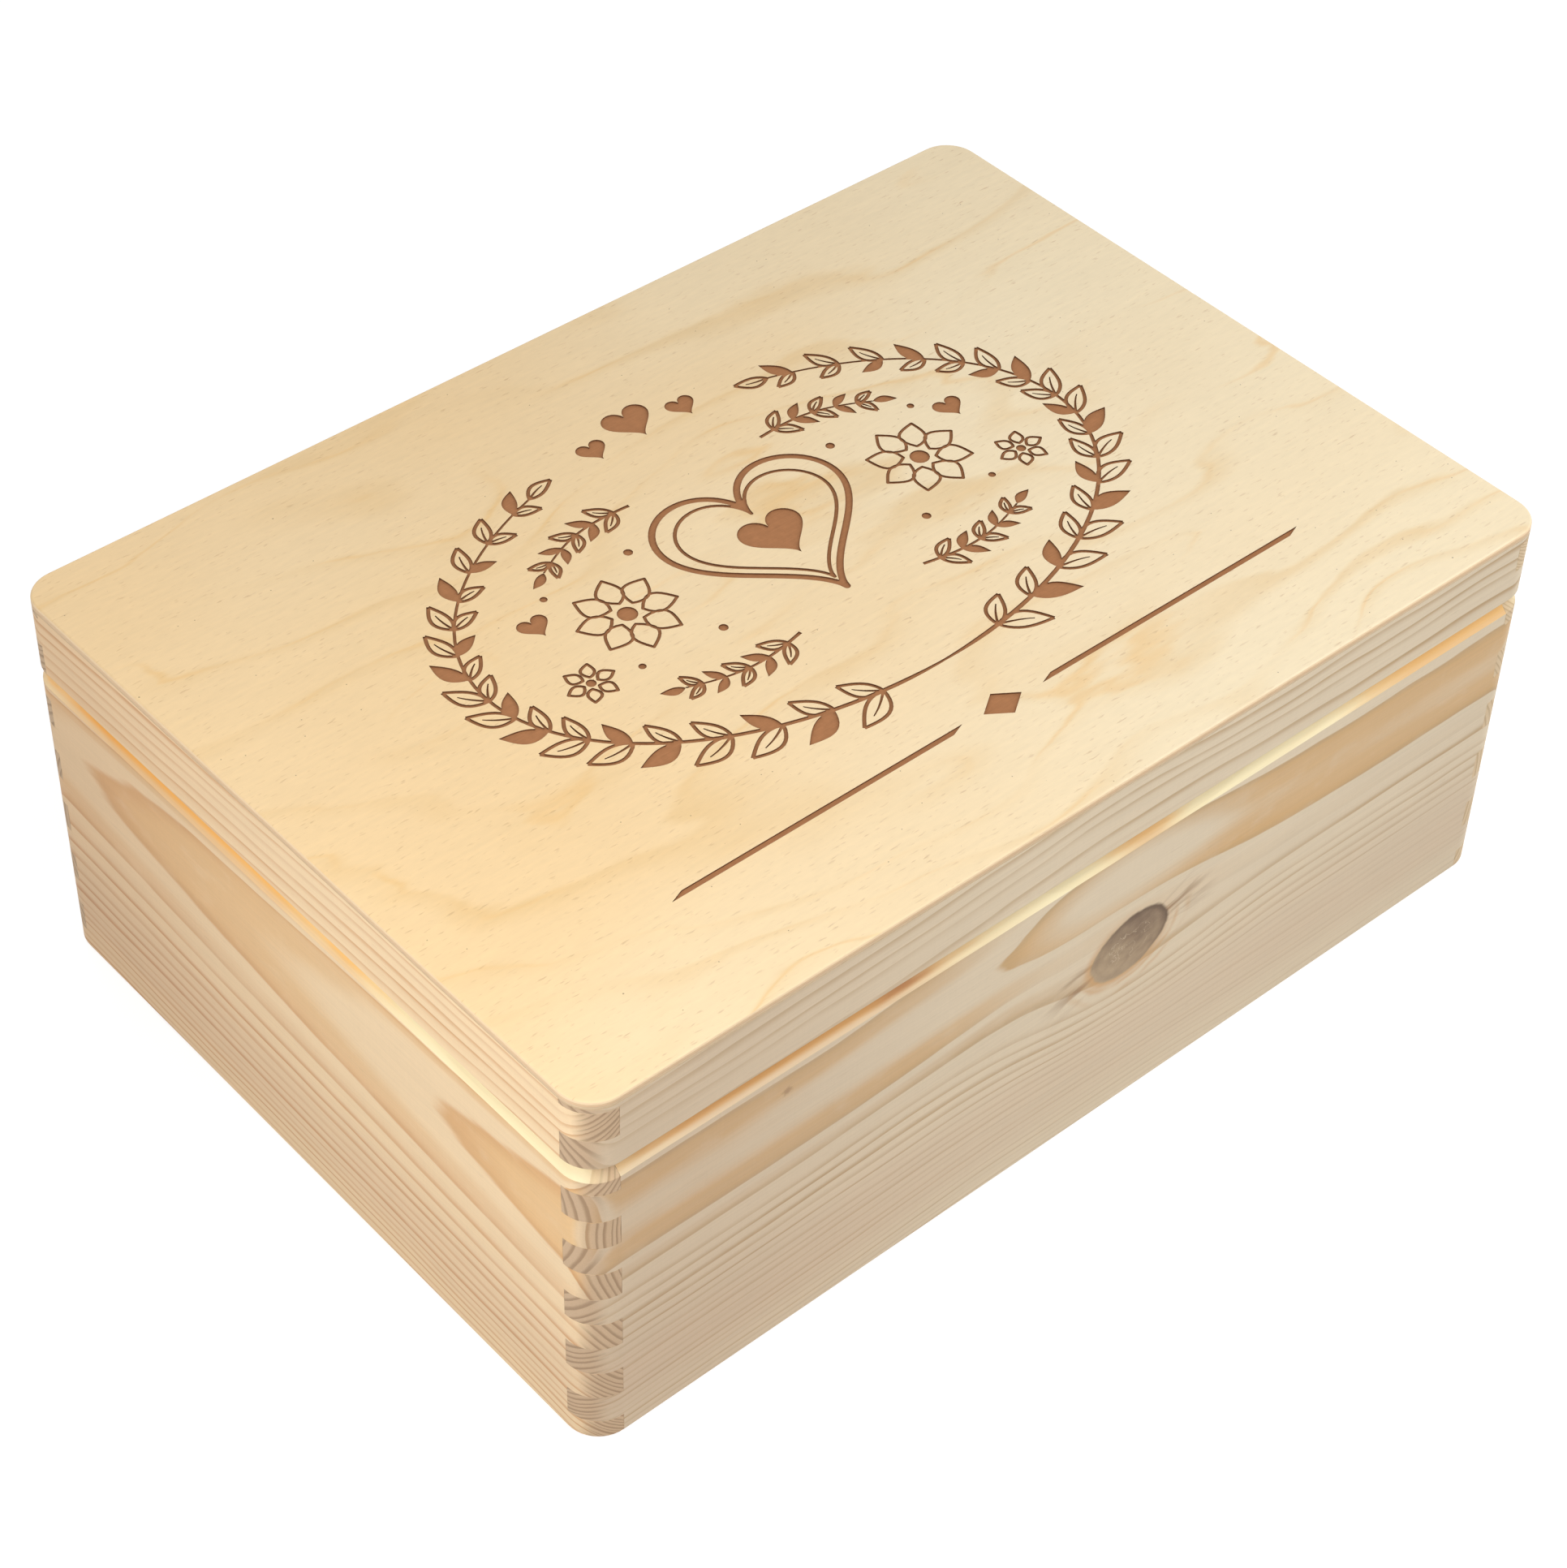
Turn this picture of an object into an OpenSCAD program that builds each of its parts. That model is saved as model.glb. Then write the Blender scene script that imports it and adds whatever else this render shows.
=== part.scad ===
// Keepsake box: a finger-jointed pine case with a lid on two butt hinges. Millimetres.
// X runs along the front to the right, Y to the back and Z up.
// The origin is on the table, under the middle of the box.

/* [Overall] */
// Length of the box along its front
box_w = 400; // [260:1:520]
// Depth of the box from front to back
box_d = 285; // [180:1:400]
// Height of the closed box
box_h = 152; // [90:1:240]
// Height of the lid, from the seam to its top
lid_h = 31; // [20:0.5:60]

/* [Boards] */
// Thickness of the pine boards and of the lid's rails
wall_t = 12; // [11.5:0.5:20]
// Radius of the four upright outside corners
corner_r = 12; // [6:0.5:18]
// Chamfer on the outside edges at the table and at the top
edge_break = 0.6; // [0.2:0.1:2]
// Chamfer on each side of the seam, which makes its V groove
seam_chamfer = 3; // [1:0.5:5]
// Gap between the closed lid and the case
seam_gap = 0.3; // [0.1:0.1:0.8]

/* [Finger joints] */
// Height of one finger
finger_h = 11.6; // [8:0.5:20]
// Height of the top of the lowest end-board finger
finger_z = 8; // [2:0.2:14]

/* [Panels] */
// Thickness of the plywood panel on top of the lid
panel_t = 3; // [2:0.5:8]
// Thickness of the plywood base
base_t = 4; // [2:0.5:8]
// Width of the rabbet that lets the base into the boards
base_lap = 6; // [3:0.5:9]
// Gap round the base in its rabbet
base_gap = 0.2; // [0.1:0.1:0.6]

/* [Hinges] */
// Distance from each end of the box to the middle of its hinge
hinge_inset = 90; // [40:1:110]
// Length of a hinge
hinge_l = 30; // [26:1:60]
// Width of a leaf, from the pin's axis to its inner edge
leaf_w = 8; // [7.5:0.1:9]
// Thickness of a leaf
leaf_t = 1; // [0.8:0.1:1.4]
// Number of knuckles on a hinge
knuckle_count = 5; // [3:2:7]
// Radius of the hinge pin
pin_r = 0.9; // [0.7:0.05:1.2]
// Distance from the back of the box to the pin's axis
pin_inset = 2.2; // [1.6:0.1:2.8]
// Radial clearance of the lid leaf's knuckles on the pin
pin_gap = 0.05; // [0.02:0.01:0.1]
// Gap between neighbouring knuckles
knuckle_gap = 0.2; // [0.1:0.05:0.5]
// Clearance round the leaves and knuckles in their mortises
mortise_gap = 0.1; // [0.05:0.05:0.3]

/* [Screws] */
// Diameter of a screw's shank
screw_d = 2.4; // [1.8:0.1:2.8]
// Diameter of a screw's countersunk head
head_d = 4.2; // [3.6:0.1:4.4]
// Length of a screw with its head
screw_l = 12; // [8:0.5:16]
// Length of a screw's point
tip_l = 3; // [1:0.5:4]
// Distance between the two screws of a leaf
screw_pitch = 18; // [12:0.5:20]
// Distance from the pin's axis to the row of screws
screw_line = 5; // [4.6:0.1:5.4]
// Clearance round a screw's shank
screw_gap = 0.05; // [0.02:0.01:0.1]
// Length of each arm of the cross in a head
cross_l = 2.6; // [1.6:0.1:3]
// Width of each arm of the cross in a head
cross_w = 0.5; // [0.3:0.1:0.8]
// Depth of the cross in a head
cross_depth = 0.6; // [0.3:0.1:0.8]

/* [Hidden] */
$fn = 64;

LEFT = -1;
RIGHT = 1;
FRONT = -1;
BACK = 1;
// How far a cutting block runs past the face that it opens
over = 1;

pine = "#DDC39B";
pine_end = "#D3B58C";
birch = "#EBD6AC";
brass = "#C9A24E";

half_w = box_w / 2;
half_d = box_d / 2;
seam_z = box_h - lid_h;
case_top = seam_z - seam_gap / 2;
lid_bottom = seam_z + seam_gap / 2;
rail_top = box_h - panel_t;
knuckle_r = pin_r + leaf_t;
cell_l = hinge_l / knuckle_count;
head_h = (head_d - screw_d) / 2;

// Right-hand half of a board section of the given half width, from z0 up to z1,
// with its lower and upper outside edges chamfered
function half_section(half, z0, z1, low, high) = concat(
    low > 0 ? [[half - low, z0], [half, z0 + low]] : [[half, z0]],
    high > 0 ? [[half, z1 - high], [half - high, z1]] : [[half, z1]]
);

// The same section with its mirror image, as one closed outline
function full_section(half, z0, z1, low, high) =
    let (right = half_section(half, z0, z1, low, high))
    concat(right, [for (i = [len(right) - 1 : -1 : 0]) [-right[i].x, right[i].y]]);

// A solid block of the box's outline between two heights, with its upright corners
// rounded and its lower and upper outside edges chamfered
module rounded_block(z0, z1, low, high) {
    rotate([90, 0, 90])
        linear_extrude(height = box_w - 2 * corner_r, center = true)
            polygon(full_section(half_d, z0, z1, low, high));
    rotate([90, 0, 0])
        linear_extrude(height = box_d - 2 * corner_r, center = true)
            polygon(full_section(half_w, z0, z1, low, high));
    for (x = [LEFT, RIGHT])
        for (y = [FRONT, BACK])
            translate([x * (half_w - corner_r), y * (half_d - corner_r), 0])
                rotate_extrude()
                    polygon(concat(
                        [[0, z0]],
                        half_section(corner_r, z0, z1, low, high),
                        [[0, z1]]
                    ));
}

module case_block() rounded_block(0, case_top, edge_break, seam_chamfer);
module lid_block() rounded_block(lid_bottom, rail_top, seam_chamfer, 0);

// The rows at both corners of one end that belong to the end board.
// Only their inner side, in line with the board's inside face, is at its real place.
module end_rows(end) {
    for (z = [finger_z - finger_h : 2 * finger_h : box_h])
        for (y = [FRONT, BACK])
            translate([end * (half_w - wall_t / 2 + over / 2), y * (half_d - wall_t / 2), z + finger_h / 2])
                cube([wall_t + over, wall_t + 2 * over, finger_h], center = true);
}

// A board along the front or the back over the whole height, with its corners
// notched for the fingers of the end boards
module long_board(side) {
    difference() {
        translate([0, side * (half_d - wall_t / 2 + over / 2), box_h / 2])
            cube([box_w + 2 * over, wall_t + over, box_h + 2 * over], center = true);
        end_rows(LEFT);
        end_rows(RIGHT);
    }
}

// A board across one end over the whole height, with its fingers
module end_board(end) {
    translate([end * (half_w - wall_t / 2 + over / 2), 0, box_h / 2])
        cube([wall_t + over, box_d - 2 * wall_t, box_h + 2 * over], center = true);
    end_rows(end);
}

// The space for the base, cut out of the boards from below
module base_rabbet() {
    translate([0, 0, (base_t - over) / 2])
        cube([
            box_w - 2 * (wall_t - base_lap),
            box_d - 2 * (wall_t - base_lap),
            base_t + over
        ], center = true);
}

// Places what is drawn round the pin's axis at the hinge near one end
module at_hinge(end) {
    translate([end * (half_w - hinge_inset), half_d - pin_inset, seam_z]) children();
}

// Turns what is drawn for the lower leaf into its upper counterpart
module as_upper() mirror([0, 0, 1]) children();

// Places a copy at each of a leaf's two screws, level with the leaf's free face
module at_screws() {
    for (x = [-screw_pitch / 2, screw_pitch / 2])
        translate([x, -screw_line, -seam_gap / 2]) children();
}

module rod_along_x(r, length) {
    rotate([0, 90, 0]) cylinder(r = r, h = length, center = true);
}

// Every second knuckle from the first one given, longer than its cell by grow
module knuckle_row(first, r, grow) {
    for (i = [first : 2 : knuckle_count - 1])
        translate([(i + 0.5) * cell_l - hinge_l / 2, 0, 0])
            rod_along_x(r, cell_l + grow);
}

// The hole that a screw's shank and countersunk head need
module screw_hole() {
    translate([0, 0, -screw_l - screw_gap])
        cylinder(d = screw_d + 2 * screw_gap, h = screw_l + screw_gap + over);
    translate([0, 0, -head_h])
        cylinder(d1 = screw_d, d2 = head_d, h = head_h);
}

// What a leaf, its knuckles and its screws take out of the board that carries them
module leaf_mortise() {
    length = hinge_l + 2 * mortise_gap;
    width = leaf_w + mortise_gap;
    translate([-length / 2, -width, -seam_gap / 2 - leaf_t])
        cube([length, width, leaf_t + over]);
    rod_along_x(knuckle_r + mortise_gap, length);
    at_screws() screw_hole();
}

// A lower leaf with every second knuckle from the first one given
module leaf(first, bore_r) {
    difference() {
        union() {
            translate([-hinge_l / 2, -leaf_w, -seam_gap / 2 - leaf_t])
                cube([hinge_l, leaf_w, leaf_t]);
            knuckle_row(first, knuckle_r, -knuckle_gap);
        }
        knuckle_row(1 - first, knuckle_r + mortise_gap, knuckle_gap);
        rod_along_x(bore_r, hinge_l + 2 * over);
        at_screws() screw_hole();
    }
}

// A countersunk wood screw, its head's top at the origin
module screw() {
    difference() {
        rotate_extrude()
            polygon([
                [0, -screw_l],
                [screw_d / 2, tip_l - screw_l],
                [screw_d / 2, -head_h],
                [head_d / 2, 0],
                [0, 0]
            ]);
        for (turn = [0, 90])
            rotate([0, 0, turn])
                translate([0, 0, (over - cross_depth) / 2])
                    cube([cross_l, cross_w, cross_depth + over], center = true);
    }
}

// Case

module front_board() {
    color(pine) difference() {
        intersection() {
            case_block();
            long_board(FRONT);
        }
        base_rabbet();
    }
}

module back_board() {
    color(pine) difference() {
        intersection() {
            case_block();
            long_board(BACK);
        }
        base_rabbet();
        for (end = [LEFT, RIGHT]) at_hinge(end) leaf_mortise();
    }
}

module case_end(end) {
    color(pine_end) difference() {
        intersection() {
            case_block();
            end_board(end);
        }
        base_rabbet();
    }
}

module left_end_board() case_end(LEFT);
module right_end_board() case_end(RIGHT);

module base_panel() {
    color(birch) translate([0, 0, base_t / 2])
        cube([
            box_w - 2 * (wall_t - base_lap + base_gap),
            box_d - 2 * (wall_t - base_lap + base_gap),
            base_t
        ], center = true);
}

// Lid

module lid_front_rail() {
    color(pine) intersection() {
        lid_block();
        long_board(FRONT);
    }
}

module lid_back_rail() {
    color(pine) difference() {
        intersection() {
            lid_block();
            long_board(BACK);
        }
        for (end = [LEFT, RIGHT]) at_hinge(end) as_upper() leaf_mortise();
    }
}

module lid_end_rail(end) {
    color(pine_end) intersection() {
        lid_block();
        end_board(end);
    }
}

module lid_left_rail() lid_end_rail(LEFT);
module lid_right_rail() lid_end_rail(RIGHT);

module lid_panel() color(birch) rounded_block(rail_top, box_h, 0, edge_break);

// Hinges

module case_leaf(end) color(brass) at_hinge(end) leaf(0, pin_r);
module lid_leaf(end) color(brass) at_hinge(end) as_upper() leaf(1, pin_r + pin_gap);
module pin(end) color(brass) at_hinge(end) rod_along_x(pin_r, hinge_l - knuckle_gap);
module case_screws(end) color(brass) at_hinge(end) at_screws() screw();
module lid_screws(end) color(brass) at_hinge(end) as_upper() at_screws() screw();

module left_hinge_case_leaf() case_leaf(LEFT);
module left_hinge_lid_leaf() lid_leaf(LEFT);
module left_hinge_pin() pin(LEFT);
module left_hinge_case_screws() case_screws(LEFT);
module left_hinge_lid_screws() lid_screws(LEFT);
module right_hinge_case_leaf() case_leaf(RIGHT);
module right_hinge_lid_leaf() lid_leaf(RIGHT);
module right_hinge_pin() pin(RIGHT);
module right_hinge_case_screws() case_screws(RIGHT);
module right_hinge_lid_screws() lid_screws(RIGHT);

front_board();
back_board();
left_end_board();
right_end_board();
base_panel();
lid_front_rail();
lid_back_rail();
lid_left_rail();
lid_right_rail();
lid_panel();
left_hinge_case_leaf();
left_hinge_lid_leaf();
left_hinge_pin();
left_hinge_case_screws();
left_hinge_lid_screws();
right_hinge_case_leaf();
right_hinge_lid_leaf();
right_hinge_pin();
right_hinge_case_screws();
right_hinge_lid_screws();
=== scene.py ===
"""The look of a finger-jointed pine keepsake box whose hinged lid has an engraved plywood top.

The frame is in metres, as Blender is. The wood's figure and the engraving are laid out in
millimetres in the same frame: X along the front, Y to the back, Z up from the table.
"""

import math
from dataclasses import dataclass

import bmesh
import bpy
from mathutils import Matrix, Vector
from mathutils.geometry import delaunay_2d_cdt


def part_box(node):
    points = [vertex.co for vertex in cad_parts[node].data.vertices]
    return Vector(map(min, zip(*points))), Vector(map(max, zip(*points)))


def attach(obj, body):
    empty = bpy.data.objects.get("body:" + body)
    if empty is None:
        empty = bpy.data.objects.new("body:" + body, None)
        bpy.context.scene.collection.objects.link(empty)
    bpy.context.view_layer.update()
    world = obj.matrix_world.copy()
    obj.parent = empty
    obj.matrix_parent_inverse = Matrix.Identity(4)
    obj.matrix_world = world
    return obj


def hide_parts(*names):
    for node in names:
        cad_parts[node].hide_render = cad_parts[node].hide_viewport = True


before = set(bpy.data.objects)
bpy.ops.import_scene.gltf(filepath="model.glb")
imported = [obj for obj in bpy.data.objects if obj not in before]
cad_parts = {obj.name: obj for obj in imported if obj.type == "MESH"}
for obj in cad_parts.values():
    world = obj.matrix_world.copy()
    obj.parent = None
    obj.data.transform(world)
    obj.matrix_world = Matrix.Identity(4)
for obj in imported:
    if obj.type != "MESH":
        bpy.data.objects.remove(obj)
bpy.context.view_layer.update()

MM = 0.001


def extent(node):
    """A CAD node's lowest and highest corners, in millimetres."""
    return [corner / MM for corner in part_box(node)]


# ---------------------------------------------------------------- sizes, in millimetres

LOW, HIGH = extent("lid_panel")
HALF_W, HALF_D = HIGH.x, HIGH.y
PANEL_LOW, PANEL_HIGH = LOW.z, HIGH.z
SEAM_Z = (extent("front_board")[1].z + extent("lid_front_rail")[0].z) / 2
# the radius of the upright corners, and the height of each slope of the seam's groove
CORNER_R = 12.0
GROOVE_HALF = 3.0

EASED_WOOD = 0.15
EASED_METAL = 0.08
PANEL_ROUNDING = 0.9
ENGRAVING_DEPTH = 0.55

# ---------------------------------------------------------------- camera and light, in metres

PHOTO_WIDTH = 1931
FOCAL_PX = 4451.7
SENSOR_MM = 36.0
CAMERA_AT = (-0.5957, -0.6545, 0.8934)
CAMERA_AIM = (-0.0194, -0.0192, 0.0760)
CAMERA_ROLL = math.radians(1.765)
CAMERA_CLIP = (0.05, 20.0)

WHITE = (1.0, 1.0, 1.0, 1.0)
AMBIENT = 0.33
# name, place, width and power of each soft lamp, and the point that all of them face
LAMPS = (
    ("key", (0.72, -0.65, 0.80), 1.2, 9.8),
    ("side", (-0.60, -0.22, 0.48), 0.5, 2.7),
    ("back", (0.20, 1.80, 1.00), 1.0, 8.0),
)
LAMP_AIM = (0.0, 0.0, 0.1)

FLOOR_HALF = 4.0
FLOOR_DROP = 0.0001
# the floor's colour for the light that it gives back, and its glow and tone as it is seen
FLOOR_PALE = (0.8, 0.8, 0.8, 1.0)
FLOOR_GLOW = 0.72
FLOOR_TONE = (0.42, 0.42, 0.42, 1.0)
# the distances from the box, in millimetres, over which the floor turns plain white
FLOOR_FADE = (450.0, 1500.0)


def linear(code):
    """An RGBA colour in Blender's linear values from a code such as 'E9CBA1'."""
    channels = [int(code[i:i + 2], 16) / 255 for i in (0, 2, 4)]
    return tuple(
        c / 12.92 if c <= 0.04045 else ((c + 0.055) / 1.055) ** 2.4 for c in channels
    ) + (1.0,)


# ---------------------------------------------------------------- shader formulas

# the middle of Blender's noise, and what brings its usual range to -1..1
NOISE_MIDDLE = 0.5
NOISE_GAIN = 3.2
# the places of a colour mix among its node's sockets: share, two colours and the result
MIX_INPUTS = (0, 6, 7)
MIX_RESULT = 2


class Num:
    """A number in a shader tree, so that its nodes are written as a plain formula."""

    def __init__(self, shader, socket):
        self.shader = shader
        self.socket = socket

    def op(self, operation, *others):
        node = self.shader.node("Math", [self, *others], operation=operation)
        return Num(self.shader, node.outputs[0])

    def __add__(self, other):
        return self.op("ADD", other)

    def __sub__(self, other):
        return self.op("SUBTRACT", other)

    def __mul__(self, other):
        return self.op("MULTIPLY", other)

    def __truediv__(self, other):
        return self.op("DIVIDE", other)

    def __pow__(self, other):
        return self.op("POWER", other)

    def __neg__(self):
        return self * -1.0

    def __abs__(self):
        return self.op("ABSOLUTE")

    def __rsub__(self, other):
        return -self + other

    __radd__ = __add__
    __rmul__ = __mul__

    def sqrt(self):
        return self.op("SQRT")

    def floor(self):
        return self.op("FLOOR")

    def exp(self):
        return self.op("EXPONENT")

    def tanh(self):
        return self.op("TANH")

    def rise(self, start, end):
        """0 below start, 1 above end and smooth between. With start above end it falls."""
        if start > end:
            return 1.0 - self.rise(end, start)
        node = self.shader.node(
            "MapRange", [self, start, end], interpolation_type="SMOOTHSTEP"
        )
        return Num(self.shader, node.outputs[0])

    def hump(self, middle, half, strength=1.0):
        """The strength at the middle, about a third of it at the half length and 0 beyond."""
        return (-(((self - middle) / half) ** 2.0)).exp() * strength


class Shader:
    """One material and short ways to add its nodes.

    A colour is a node's output, a code for linear() or an RGBA tuple.
    """

    def __init__(self, name):
        self.material = bpy.data.materials.new(name)
        self.material.use_nodes = True
        self.tree = self.material.node_tree
        self.surface = self.tree.nodes["Principled BSDF"]

    def node(self, kind, inputs=(), **settings):
        """A new node with these settings and with its first inputs fed."""
        node = self.tree.nodes.new("ShaderNode" + kind)
        for key, value in settings.items():
            setattr(node, key, value)
        for socket, value in zip(node.inputs, inputs):
            self.feed(socket, value)
        return node

    def feed(self, socket, value):
        if isinstance(value, Num):
            value = value.socket
        if isinstance(value, str):
            value = linear(value)
        if isinstance(value, bpy.types.NodeSocket):
            self.tree.links.new(value, socket)
        else:
            socket.default_value = value

    def split(self, vector):
        return [Num(self, out) for out in self.node("SeparateXYZ", [vector]).outputs]

    def place(self):
        """The point's own X, Y and Z at rest, in millimetres."""
        coords = self.node("TexCoord").outputs["Object"]
        return [number * (1 / MM) for number in self.split(coords)]

    def normal(self):
        """The X, Y and Z of the surface's normal at rest."""
        return self.split(self.node("TexCoord").outputs["Normal"])

    def noise(self, x, y, z, detail=2.0, roughness=0.5):
        """Smooth noise round 0, mostly within -1 and 1, one cell to each unit."""
        point = self.node("CombineXYZ", [x, y, z]).outputs[0]
        node = self.node("TexNoise")
        self.feed(node.inputs["Vector"], point)
        node.inputs["Scale"].default_value = 1.0
        node.inputs["Detail"].default_value = detail
        node.inputs["Roughness"].default_value = roughness
        return (Num(self, node.outputs[0]) - NOISE_MIDDLE) * NOISE_GAIN

    def chance(self, number):
        """A fixed random value from 0 to 1 for each whole number."""
        node = self.node("TexWhiteNoise", noise_dimensions="1D")
        self.feed(node.inputs["W"], number)
        return Num(self, node.outputs["Value"])

    def mix(self, share, low, high, blend="MIX"):
        """The low colour with a share of the high one over it."""
        node = self.node("Mix", data_type="RGBA", blend_type=blend)
        for index, value in zip(MIX_INPUTS, (share, low, high)):
            self.feed(node.inputs[index], value)
        return node.outputs[MIX_RESULT]

    def tone(self, colour, factor):
        """The colour, here an output, made lighter or darker by a factor."""
        node = self.node("VectorMath", operation="SCALE")
        self.feed(node.inputs[0], colour)
        self.feed(node.inputs["Scale"], factor)
        return node.outputs[0]

    def finish(self, colour, roughness, height=None, depth_mm=0.05, **settings):
        """Colour, roughness and relief on the surface, and uniform settings by name."""
        self.feed(self.surface.inputs["Base Color"], colour)
        self.feed(self.surface.inputs["Roughness"], roughness)
        for name, value in settings.items():
            self.surface.inputs[name.replace("_", " ")].default_value = value
        if height is not None:
            bump = self.node("Bump")
            bump.inputs["Strength"].default_value = 1.0
            bump.inputs["Distance"].default_value = depth_mm * MM
            self.feed(bump.inputs["Height"], height)
            self.feed(self.surface.inputs["Normal"], bump.outputs[0])
        return self.material


# ---------------------------------------------------------------- pine

# In the noises of this and the next sections, what a coordinate is divided by is the
# noise's cell in millimetres, and a bare number only keeps one noise apart from others.


@dataclass(frozen=True)
class Plank:
    """One side of the box, sawn through at the seam: its case board and its lid rail.

    The two share one figure. The rings are round the pith, a line along the plank and
    behind its outer face. Where the pith comes nearer, the figure opens in pointed arches.
    """

    # the axis of the grain, where the outer face is on the other one, and its way inwards
    grain: str
    face: float
    inward: int
    # the way along the plank in which the pith comes nearer, and how much for a millimetre
    along: int
    lean: float
    # the pith's height, and its depth behind the face
    pith_z: float
    pith_in: float
    # rings for each millimetre at the pith's depth, and their growth outwards
    ring: float
    tighten: float
    # where in a ring the figure starts, and what keeps the plank's noises apart
    phase: float
    seed: float
    # how softly a ring ends, as a share of it
    rim: float
    # the strength of the lines near the base, from the plank's low end to its high one
    low_lines: tuple
    # where along the plank a painted shade, darker and warmer, starts, and where it is
    # strongest
    painted_warm_shade: tuple
    # the stretches of painted warm shade in the seam's groove: middle, half length and
    # strength of each
    painted_groove_shade: tuple
    # early wood, broad late wood and thin lines of late wood
    clear: str
    late: str
    thin: str
    # the same strength for the lines above the seam
    rail_lines: tuple = (0.8, 0.9)
    # an extra drift of the pith to the face: its middle, its half length and its size
    step: tuple = (0.0, 40.0, 0.0)
    # a slight bow in the pith's height: its middle, its half length and its rise
    swell: tuple = (0.0, 100.0, 0.0)
    # a height above which the rings are closer, and by how much
    crowd: tuple = (150.0, 0.0)
    # how far from the pith's height the late wood is broad before it is in thin lines
    broad: float = 30.0
    # an oval of clear wood: its middle, its half sizes and its strength
    island: tuple = None
    # a ring whose late wood runs out, and where along the plank it does
    faint: tuple = None
    # where along the plank its wood starts to turn duller, and where it is dullest
    dull: tuple = None
    # how much lighter the wood above the seam is painted, as painted light on the lid's rails
    rail_painted_light: float = 0.0
    # lines of end grain for each ring, the end grain's colour and that of its lines
    stripes: float = 1.5
    ends: tuple = ("C4A788", "927559")
    # the painted shade at the bottom and the painted highlight at the rims of the groove's
    # warm stretches, at the plank's two ends
    painted_groove_deep: tuple = ("DDB06E", "D9A55E")
    painted_groove_highlight: tuple = ("EBC796", "EBC796")
    # a dark streak of resin in the groove: its middle and its half length
    resin: tuple = None
    # the middles of a knot and of a tiny one
    knot: tuple = None
    pin: tuple = None


PLANKS = {
    "front": Plank(
        grain="x", face=-HALF_D, inward=1, along=1, lean=0.003, pith_z=98.0, pith_in=40.0,
        step=(-21.0, 18.0, 1.5), swell=(-10.0, 80.0, 4.0), ring=0.20, tighten=0.0036,
        phase=0.80, seed=3.0, rim=0.05, broad=22.0,
        island=(15.0, 100.0, 39.0, 16.0, 0.50), faint=(41.0, -85.0, -5.0),
        low_lines=(0.62, 0.25), rail_lines=(0.6, 1.25),
        painted_warm_shade=(-10.0, -190.0), dull=(40.0, 210.0),
        painted_groove_shade=((-125.0, 75.0, 1.0), (20.0, 18.0, 0.65), (170.0, 55.0, 1.0)),
        clear="DFCDB1", late="D2A870", thin="BE9F76",
        painted_groove_deep=("D6A15D", "EAB96A"), painted_groove_highlight=("E3C9A5", "EABF82"),
        resin=(-80.0, 13.0), knot=(18.0, 74.5), pin=(-126.0, 109.0),
    ),
    "left": Plank(
        grain="y", face=-HALF_W, inward=1, along=-1, lean=0.0272, pith_z=96.0, pith_in=90.0,
        ring=0.20, tighten=0.0068, crowd=(113.0, 0.11),
        phase=0.34, seed=11.0, rim=0.07, stripes=2.0,
        low_lines=(1.1, 1.0), rail_lines=(0.8, 0.7), painted_warm_shade=(-30.0, 150.0), rail_painted_light=0.05,
        painted_groove_shade=((62.0, 88.0, 1.0), (-30.0, 20.0, 0.35)),
        clear="EBCFA7", late="E0B67F", thin="CB9460", painted_groove_deep=("F7C873", "EDAD53"),
    ),
    "back": Plank(
        grain="x", face=HALF_D, inward=-1, along=-1, lean=0.016, pith_z=60.0, pith_in=52.0,
        step=(-70.0, 45.0, 2.0), swell=(40.0, 90.0, 5.0), ring=0.18, tighten=0.0042,
        phase=0.15, seed=23.0, rim=0.07, low_lines=(0.7, 0.6), painted_warm_shade=(40.0, 200.0),
        painted_groove_shade=((120.0, 45.0, 0.8), (-60.0, 60.0, 0.7)),
        clear="E8D5B3", late="DAB07C", thin="C8A77E", knot=(-112.0, 48.0),
    ),
    "right": Plank(
        grain="y", face=HALF_W, inward=-1, along=1, lean=0.022, pith_z=40.0, pith_in=75.0,
        ring=0.19, tighten=0.0060, phase=0.30, seed=37.0, rim=0.08, stripes=2.0,
        low_lines=(0.7, 0.8), painted_warm_shade=(0.0, 150.0),
        painted_groove_shade=((-80.0, 45.0, 0.6), (70.0, 35.0, 0.7)),
        clear="E9D3AC", late="D9AE7B", thin="CAA374", ends=("D2BA98", "B29775"),
    ),
}

# where along a plank what differs between its two ends starts and ends to change
PLANK_RUN = (-150.0, 150.0)
# keeps the numbers of all rings above 0
FIRST_RING = 40

# Heights between which an effect grows to its full strength: the lines near the base and
# those above the seam, the base's blush from above and from below, its darkening towards
# the bottom, and the painted light that makes the lid's rails lighter.
LOW_LINES = (62.0, 26.0)
RAIL_LINES = (SEAM_Z - 1, SEAM_Z + 1)
BLUSH_TOP = (58.0, 32.0)
BLUSH_FOOT = (4.0, 20.0)
LOW_DARKENING = (62.0, 18.0)
RAILS = (SEAM_Z - 3, SEAM_Z + 3)

BLUSH = "CBA88C"
# the tint of the painted shade that darkens and warms each plank towards one end
PAINTED_SHADE_TINT = (0.88, 0.83, 0.80, 1.0)
FLECKS = "A88762"
# the groove's painted light: its pale lit colour, and a darker one for painted shade in its
# depth
GROOVE_PAINTED_LIGHT = "FAEDC3"
GROOVE_PAINTED_SHADE = "EBDEB6"
RESIN = "B06C3A"

# the knot's half sizes and its turn, and how far and how much it pushes the grain aside
KNOT_R = (17.0, 12.4)
KNOT_TURN = math.radians(12)
KNOT_REACH = (50.0, 27.0)
KNOT_PUSH = 0.78
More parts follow.
